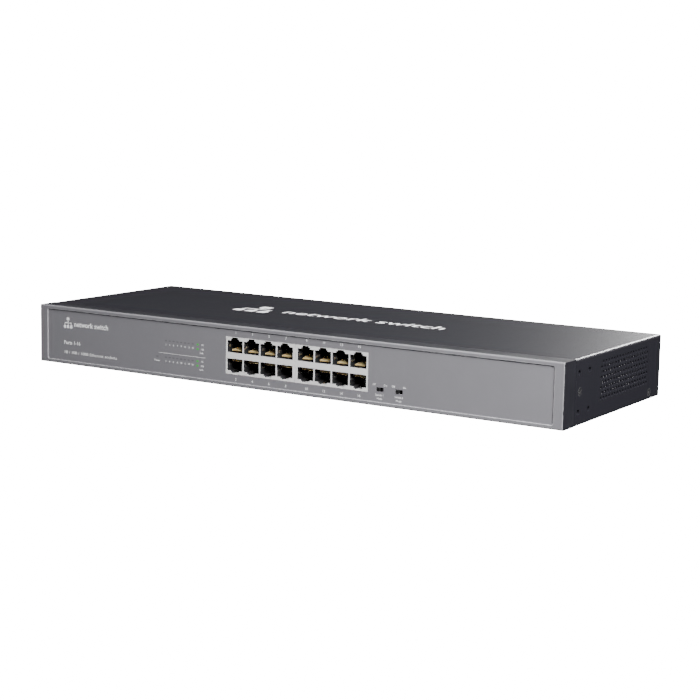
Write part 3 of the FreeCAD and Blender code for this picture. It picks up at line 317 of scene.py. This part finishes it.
def add_prism(bm, outline, to_world, thickness):
    """Extrudes a flat outline of (across, up) corners towards the viewer of its face."""
    lower = [bm.verts.new(to_world @ Vector((x, y, 0))) for x, y in outline]
    upper = [bm.verts.new(to_world @ Vector((x, y, thickness))) for x, y in outline]
    bm.faces.new(reversed(lower))
    bm.faces.new(upper)
    count = len(outline)
    for i in range(count):
        j = (i + 1) % count
        bm.faces.new((lower[i], lower[j], upper[j], upper[i]))


def on_front(x, z):
    """Carries a drawing onto the label's face, with its origin at (x, z)."""
    turn = Matrix(((1, 0, 0), (0, 0, -1), (0, 1, 0))).to_4x4()
    return Matrix.Translation((x, LABEL_LOW.y, z)) @ turn


def on_top(x, y):
    return Matrix.Translation((x, y, COVER_HIGH.z))


def on_rear(x, z):
    turn = Matrix(((-1, 0, 0), (0, 0, 1), (0, 1, 0))).to_4x4()
    return Matrix.Translation((x, REAR, z)) @ turn


def rectangle(width, height, x=0.0, y=0.0):
    left, right = x - width / 2, x + width / 2
    return [(left, y - height / 2), (right, y - height / 2), (right, y + height / 2), (left, y + height / 2)]


def rounded_rectangle(width, height, radius, x=0.0, y=0.0, steps=5):
    corners = []
    for turn, (sx, sy) in enumerate(((1, 1), (-1, 1), (-1, -1), (1, -1))):
        centre_x = x + sx * (width / 2 - radius)
        centre_y = y + sy * (height / 2 - radius)
        for step in range(steps + 1):
            angle = math.pi / 2 * (turn + step / steps)
            corners.append((centre_x + radius * math.cos(angle), centre_y + radius * math.sin(angle)))
    return corners


def ring_band(bm, radius, width, to_world, thickness, steps=40):
    """A flat circular band."""
    rings = []
    for step in range(steps):
        angle = math.radians(360.0 * step / steps)
        across, up = math.cos(angle), math.sin(angle)
        section = []
        for reach, lift in ((-0.5, 0), (0.5, 0), (0.5, 1), (-0.5, 1)):
            far = radius + reach * width
            place = Vector((far * across, far * up, lift * thickness))
            section.append(bm.verts.new(to_world @ place))
        rings.append(section)
    for first, second in zip(rings, rings[1:] + rings[:1]):
        for k in range(4):
            m = (k + 1) % 4
            bm.faces.new((first[k], first[m], second[m], second[k]))


def cap_height_of_font():
    curve = bpy.data.curves.new("cap_height", "FONT")
    curve.body = "H"
    holder = bpy.data.objects.new("cap_height", curve)
    mesh = bpy.data.meshes.new_from_object(holder)
    height = max(v.co.y for v in mesh.vertices) - min(v.co.y for v in mesh.vertices)
    bpy.data.meshes.remove(mesh)
    bpy.data.objects.remove(holder)
    return height


CAP_HEIGHT = cap_height_of_font()


def add_words(bm, words, cap_height, to_world, width=None, align="CENTER", bold=0.0):
    """Adds solid lettering whose capitals are cap_height tall; width, if given, sets its length."""
    curve = bpy.data.curves.new("words", "FONT")
    curve.body = words
    curve.size = cap_height / CAP_HEIGHT
    curve.resolution_u = 3
    curve.extrude = INK / 2
    curve.offset = bold * cap_height
    curve.align_x = align
    holder = bpy.data.objects.new("words", curve)
    mesh = bpy.data.meshes.new_from_object(holder)
    xs = [v.co.x for v in mesh.vertices]
    factor = width / (max(xs) - min(xs)) if width else 1.0
    fit = Matrix.Diagonal((factor, 1, 1, 1))
    raise_by = Matrix.Translation((0, 0, INK / 2))
    drop = Matrix.Translation((0, -cap_height / 2, 0))
    mesh.transform(to_world @ raise_by @ drop @ fit)
    bm.from_mesh(mesh)
    bpy.data.meshes.remove(mesh)
    bpy.data.objects.remove(holder)


# ======== print on the front and the cover ========


def port_columns():
    """The X of each socket column, left to right."""
    columns = []
    for side, (low, high) in zip((-1, 1), BLOCKS):
        middle = (low.x + high.x) / 2 + side * PORT_SHIFT
        for number in range(PORTS_PER_ROW):
            columns.append(middle + (number - (PORTS_PER_ROW - 1) / 2) * PORT_PITCH)
    return columns


def print_port_numbers(ink):
    bm = bmesh.new()
    above = PORTS_Z + 16.8 * MM
    below = PORTS_Z - 16.9 * MM
    for number, x in enumerate(port_columns()):
        add_words(bm, str(2 * number + 1), NUMBER_HEIGHT, on_front(x + 0.7 * MM, above))
        add_words(bm, str(2 * number + 2), NUMBER_HEIGHT, on_front(x + 1.0 * MM, below))
    add_piece("port_numbers", mesh_from(bm, "port_numbers"), ink)


def network_mark(bm, to_world, size, thickness):
    """A plain sign for a local network: one box joined to three below it."""
    box_size = size * 0.27
    line = size * 0.075
    top = size * 0.5 - box_size / 2
    bottom = -top
    add_prism(bm, rounded_rectangle(box_size * 1.25, box_size, box_size * 0.2, 0, top), to_world, thickness)
    add_prism(bm, rectangle(line, top - box_size / 2, 0, (top - box_size / 2) / 2), to_world, thickness)
    add_prism(bm, rectangle(size * 0.76 + line, line, 0, 0), to_world, thickness)
    for x in (-0.38 * size, 0, 0.38 * size):
        stem = -bottom - box_size / 2
        add_prism(bm, rectangle(line, stem, x, -stem / 2), to_world, thickness)
        square = rounded_rectangle(box_size, box_size, box_size * 0.2, x, bottom)
        add_prism(bm, square, to_world, thickness)


def print_front_mark(ink):
    bm = bmesh.new()
    left = -197.0 * MM
    network_mark(bm, on_front(left + 4.2 * MM, 31.8 * MM), 8.2 * MM, INK)
    title = on_front(left + 10.2 * MM, 31.4 * MM)
    add_words(bm, "network switch", 3.6 * MM, title, align="LEFT", bold=0.03)
    add_words(bm, "Ports 1-16", 2.6 * MM, on_front(left, 16.8 * MM), align="LEFT", bold=0.02)
    add_words(bm, "10 / 100 / 1000 Ethernet sockets", 2.1 * MM, on_front(left, 9.4 * MM), align="LEFT",
              width=51.0 * MM)
    add_piece("front_mark", mesh_from(bm, "front_mark"), ink)


def print_cover_mark(ink):
    bm = bmesh.new()
    icon_y = FRONT + 84.0 * MM
    network_mark(bm, on_top(-75.0 * MM, icon_y), 29.0 * MM, INK)
    title = on_top(-51.0 * MM, FRONT + 84.5 * MM)
    add_words(bm, "network switch", 13.0 * MM, title, align="LEFT", width=137.0 * MM, bold=0.012)
    add_piece("cover_mark", mesh_from(bm, "cover_mark"), ink)


LED_PITCH = 3.486 * MM
LEDS_PER_ROW = 8
LED_RADIUS = 0.5 * MM
POWER_TO_FIRST = 8.0 * MM
FIRST_NUMBER_SHIFT = 0.8 * MM
LIGHT_ROWS = (LIGHTS_HIGH.z - LED_RADIUS, LIGHTS_LOW.z + LED_RADIUS)
LIGHT_NUMBER_DROP = 2.9 * MM
LEGEND_X = -70.0 * MM
LEGEND_PITCH = 3.3 * MM


def light_columns():
    first = LIGHTS_LOW.x + (POWER_TO_FIRST + FIRST_NUMBER_SHIFT)
    return [first + number * LED_PITCH for number in range(LEDS_PER_ROW)]


def print_light_numbers(ink):
    bm = bmesh.new()
    for row, z in enumerate(LIGHT_ROWS):
        for number, x in enumerate(light_columns()):
            label = str(2 * number + 1 + row)
            add_words(bm, label, SMALL_PRINT, on_front(x, z - LIGHT_NUMBER_DROP))
    add_words(bm, "Power", SMALL_PRINT, on_front(light_columns()[0] - POWER_TO_FIRST,
                                                 LIGHT_ROWS[1] - LIGHT_NUMBER_DROP))
    line_left = light_columns()[0] - 6.8 * MM
    line_right = LEGEND_X + 7.0 * MM
    middle = ((line_left + line_right) / 2, 18.0 * MM)
    add_prism(bm, rectangle(line_right - line_left, 0.22 * MM), on_front(*middle), INK)
    for z in LIGHT_ROWS:
        add_words(bm, "1G", SMALL_PRINT, on_front(LEGEND_X + 4.2 * MM, z))
        add_words(bm, "100", SMALL_PRINT, on_front(LEGEND_X + 4.2 * MM, z - LEGEND_PITCH))
        add_words(bm, "Link", SMALL_PRINT, on_front(LEGEND_X + 3.6 * MM, z - 6.0 * MM))
    add_piece("light_numbers", mesh_from(bm, "light_numbers"), ink)


def print_legend_squares(ink):
    bm = bmesh.new()
    for z in LIGHT_ROWS:
        for drop in (0, LEGEND_PITCH):
            add_prism(bm, rectangle(1.7 * MM, 1.3 * MM), on_front(LEGEND_X, z - drop), INK)
    add_piece("legend_squares", mesh_from(bm, "legend_squares"), ink)


def print_light_windows(ink):
    """Dead-front windows: the film is thinner there, so they show only as faint darker bars."""
    bm = bmesh.new()
    window = rounded_rectangle(1.9 * MM, 0.9 * MM, 0.3 * MM)
    for z in LIGHT_ROWS:
        for x in light_columns():
            add_prism(bm, window, on_front(x, z), INK / 2)
    add_prism(bm, window, on_front(light_columns()[0] - POWER_TO_FIRST, LIGHT_ROWS[1]), INK / 2)
    add_piece("light_windows", mesh_from(bm, "light_windows"), ink)


def print_switch_captions(ink):
    bm = bmesh.new()
    captions = (("Switch 1", "Mode"), ("Switch 2", "Mode"))
    for (low, high), lines in zip(SWITCHES, captions):
        x = (low.x + high.x) / 2
        z = (low.z + high.z) / 2
        for side, words in ((-1, "Off"), (1, "On")):
            add_words(bm, words, SMALL_PRINT, on_front(x + side * 4.4 * MM, z + 3.2 * MM))
        for row, words in enumerate(lines):
            add_words(bm, words, SMALL_PRINT, on_front(x, z - (3.8 + 2.5 * row) * MM))
    add_piece("switch_captions", mesh_from(bm, "switch_captions"), ink)


def print_earth_sign(ink):
    """The usual earth sign beside the earth screw."""
    low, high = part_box("earth_screw")
    x = (low.x + high.x) / 2 - 9 * MM
    z = (low.z + high.z) / 2
    bm = bmesh.new()
    sheet = on_rear(x, z)
    ring_band(bm, 3.2 * MM, 0.35 * MM, sheet, INK)
    add_prism(bm, rectangle(0.35 * MM, 1.9 * MM, 0, 0.95 * MM), sheet, INK)
    for row, width in enumerate((3.6, 2.3, 1.0)):
        add_prism(bm, rectangle(width * MM, 0.35 * MM, 0, -row * 0.8 * MM), sheet, INK)
    add_piece("earth_sign", mesh_from(bm, "earth_sign"), ink)


# ======== detail inside the sockets ========


SPRING_LENGTH = 4.2 * MM
SPRING_BULGE = 0.55 * MM
SPRING_WIDTH = 1.7 * MM
SPRING_THICK = 0.15 * MM
SPRING_START = 2.2 * MM


def leaf_spring(bm, x, z, inward):
    """A leaf pressed out of the shield: it bows into the cavity and comes back to the wall."""
    steps = 10
    sections = []
    for step in range(steps + 1):
        along = step / steps
        near = x + inward * SPRING_BULGE * math.sin(math.pi * along)
        far = near + inward * SPRING_THICK
        y = PORT_FACE + SPRING_START + along * SPRING_LENGTH
        low, high = z - SPRING_WIDTH / 2, z + SPRING_WIDTH / 2
        corners = ((near, low), (far, low), (far, high), (near, high))
        sections.append([bm.verts.new((px, y, pz)) for px, pz in corners])
    for first, second in zip(sections, sections[1:]):
        for k in range(4):
            m = (k + 1) % 4
            bm.faces.new((first[k], first[m], second[m], second[k]))
    bm.faces.new(sections[0])
    bm.faces.new(reversed(sections[-1]))


def make_port_springs(material):
    bm = bmesh.new()
    for x in port_columns():
        for row in (1, -1):
            middle = PORTS_Z + row * (ROW_BAR + OPENING_HEIGHT) / 2
            for side in (-1, 1):
                leaf_spring(bm, x + side * PORT_OPENING / 2, middle, -side)
    add_piece("port_springs", mesh_from(bm, "port_springs", 35), material)


COMB_START = 3.3 * MM
COMB_LENGTH = 9.6 * MM
COMB_HEIGHT = 0.75 * MM
COMB_RIB = 0.3 * MM


def make_contact_combs(material):
    """The low moulded ribs under the contacts of each socket, one in each gap between two."""
    bm = bmesh.new()
    for x in port_columns():
        for row in (1, -1):
            floor = PORTS_Z + row * ROW_BAR / 2
            for number in range(CONTACTS + 1):
                across = x + (number - CONTACTS / 2) * CONTACT_PITCH
                corners = rectangle(COMB_RIB, COMB_LENGTH, 0, COMB_LENGTH / 2)
                place = Matrix.Translation((across, PORT_FACE + COMB_START, floor))
                flip = Matrix.Diagonal((1, 1, row, 1))
                add_prism(bm, corners, place @ flip, COMB_HEIGHT)
    add_piece("contact_combs", mesh_from(bm, "contact_combs"), material)


# ======== studio ========

FLOOR_SIZE = 12.0
PAPER_WHITE = 26.0
FLOOR_SHARE = 0.72         # of the paper's strength, as the floor is lit by the lamps as well
ROOM_LIGHT = 0.045

CAMERA_AZIMUTH = 31.88     # degrees round from the front towards the right
CAMERA_ELEVATION = 8.89
CAMERA_ROLL = 1.15
CAMERA_LENS = 87.13
CAMERA_PLACE = (661.1 * MM, FRONT - 966.6 * MM, 214.3 * MM)


def make_floor():
    half = FLOOR_SIZE / 2
    corners = [(-half, -half, 0), (half, -half, 0), (half, half, 0), (-half, half, 0)]
    mesh = bpy.data.meshes.new("floor")
    mesh.from_pydata(corners, [], [(0, 1, 2, 3)])
    floor = bpy.data.objects.new("floor", mesh)
    bpy.context.scene.collection.objects.link(floor)
    pale = bpy.data.materials.new("pale_floor")
    pale.use_nodes = True
    shader = pale.node_tree.nodes["Principled BSDF"]
    shader.inputs["Roughness"].default_value = 0.9
    shader.inputs["Base Color"].default_value = (0.90, 0.90, 0.90, 1)
    shader.inputs["Emission Color"].default_value = (1, 1, 1, 1)
    shader.inputs["Emission Strength"].default_value = PAPER_WHITE * FLOOR_SHARE
    mesh.materials.append(pale)
    floor.visible_glossy = False
    floor.visible_diffuse = False


def make_backdrop():
    """White paper behind the object, which lights it only dimly."""
    world = bpy.data.worlds.new("studio")
    bpy.context.scene.world = world
    world.use_nodes = True
    tree = world.node_tree
    paper = tree.nodes["Background"]
    paper.inputs["Color"].default_value = (1, 1, 1, 1)
    paper.inputs["Strength"].default_value = PAPER_WHITE
    room = node(tree, "Background")
    room.inputs["Color"].default_value = (0.95, 0.96, 1.0, 1)
    room.inputs["Strength"].default_value = ROOM_LIGHT
    seen = node(tree, "LightPath")
    choose = node(tree, "MixShader")
    tree.links.new(seen.outputs["Is Camera Ray"], choose.inputs[0])
    tree.links.new(room.outputs["Background"], choose.inputs[1])
    tree.links.new(paper.outputs["Background"], choose.inputs[2])
    tree.links.new(choose.outputs["Shader"], tree.nodes["World Output"].inputs["Surface"])


def soft_box(name, place, target, size, power):
    light = bpy.data.lights.new(name, "AREA")
    light.shape = "RECTANGLE"
    light.size, light.size_y = size
    light.energy = power
    lamp = bpy.data.objects.new(name, light)
    lamp.location = place
    aim = Vector(target) - Vector(place)
    lamp.rotation_euler = aim.to_track_quat("-Z", "Y").to_euler()
    lamp.visible_camera = False
    bpy.context.scene.collection.objects.link(lamp)


def make_lights():
    """A key in front at the right, a narrow lamp that draws the line along the panel's top edge, one
    overhead, a card behind that the right half of the cover mirrors, and a weak one for the side."""
    soft_box("key_front", (0.80, -0.56, 0.70), (0.20, 0, 0), (0.5, 0.4), 45)
    soft_box("edge_light", (-0.9, -0.20, 1.70), (0, -0.08, 0.04), (1.2, 0.25), 10)
    soft_box("overhead", (0.6, -0.4, 1.6), (0.2, 0, 0), (0.8, 0.8), 12)
    soft_box("card_behind", (-0.12, 2.2, 0.60), (0.2, 0, 0.03), (0.7, 0.9), 80)
    soft_box("card_side", (1.5, 1.8, 0.5), (0.22, 0, 0.02), (1.0, 0.8), 4)


def make_camera():
    """The camera stands in front, to the right and a little above, and is turned about its own axis
    by a degree or so."""
    azimuth = math.radians(CAMERA_AZIMUTH)
    elevation = math.radians(CAMERA_ELEVATION)
    roll = math.radians(CAMERA_ROLL)
    camera = bpy.data.objects.new("camera", bpy.data.cameras.new("camera"))
    camera.data.lens = CAMERA_LENS
    camera.data.sensor_width = 36.0
    camera.data.clip_start = 0.01
    back = Vector((math.sin(azimuth) * math.cos(elevation),
                   -math.cos(azimuth) * math.cos(elevation),
                   math.sin(elevation)))
    right = (-back).cross(Vector((0, 0, 1))).normalized()
    up = right.cross(-back)
    turned_right = math.cos(roll) * right + math.sin(roll) * up
    turned_up = math.cos(roll) * up - math.sin(roll) * right
    axes = Matrix((turned_right, turned_up, back)).transposed().to_4x4()
    camera.matrix_world = Matrix.Translation(CAMERA_PLACE) @ axes
    bpy.context.scene.collection.objects.link(camera)
    bpy.context.scene.camera = camera


def main():
    materials = make_materials()
    paint_cad_nodes(materials)
    white = surface("white_ink", WHITE_INK, 0.55, tone=0.04, grain=3500, grain_depth=0.004)
    green = surface("green_ink", GREEN_INK, 0.55, tone=0.06, grain=3500, grain_depth=0.004)
    window = surface("window_film", (0.120, 0.118, 0.128), 0.30, tone=0.04, grain=4200, grain_depth=0.002)
    print_port_numbers(white)
    print_front_mark(white)
    print_cover_mark(white)
    print_light_numbers(white)
    print_legend_squares(green)
    print_light_windows(window)
    print_switch_captions(white)
    print_earth_sign(white)
    # The springs get the darker zinc_steel finish rather than the shield's tin plate: painted shade for
    # their place deep in the sockets.
    make_port_springs(materials["zinc_steel"])
    make_contact_combs(materials["moulded_black"])
    make_floor()
    make_backdrop()
    make_lights()
    make_camera()


main()
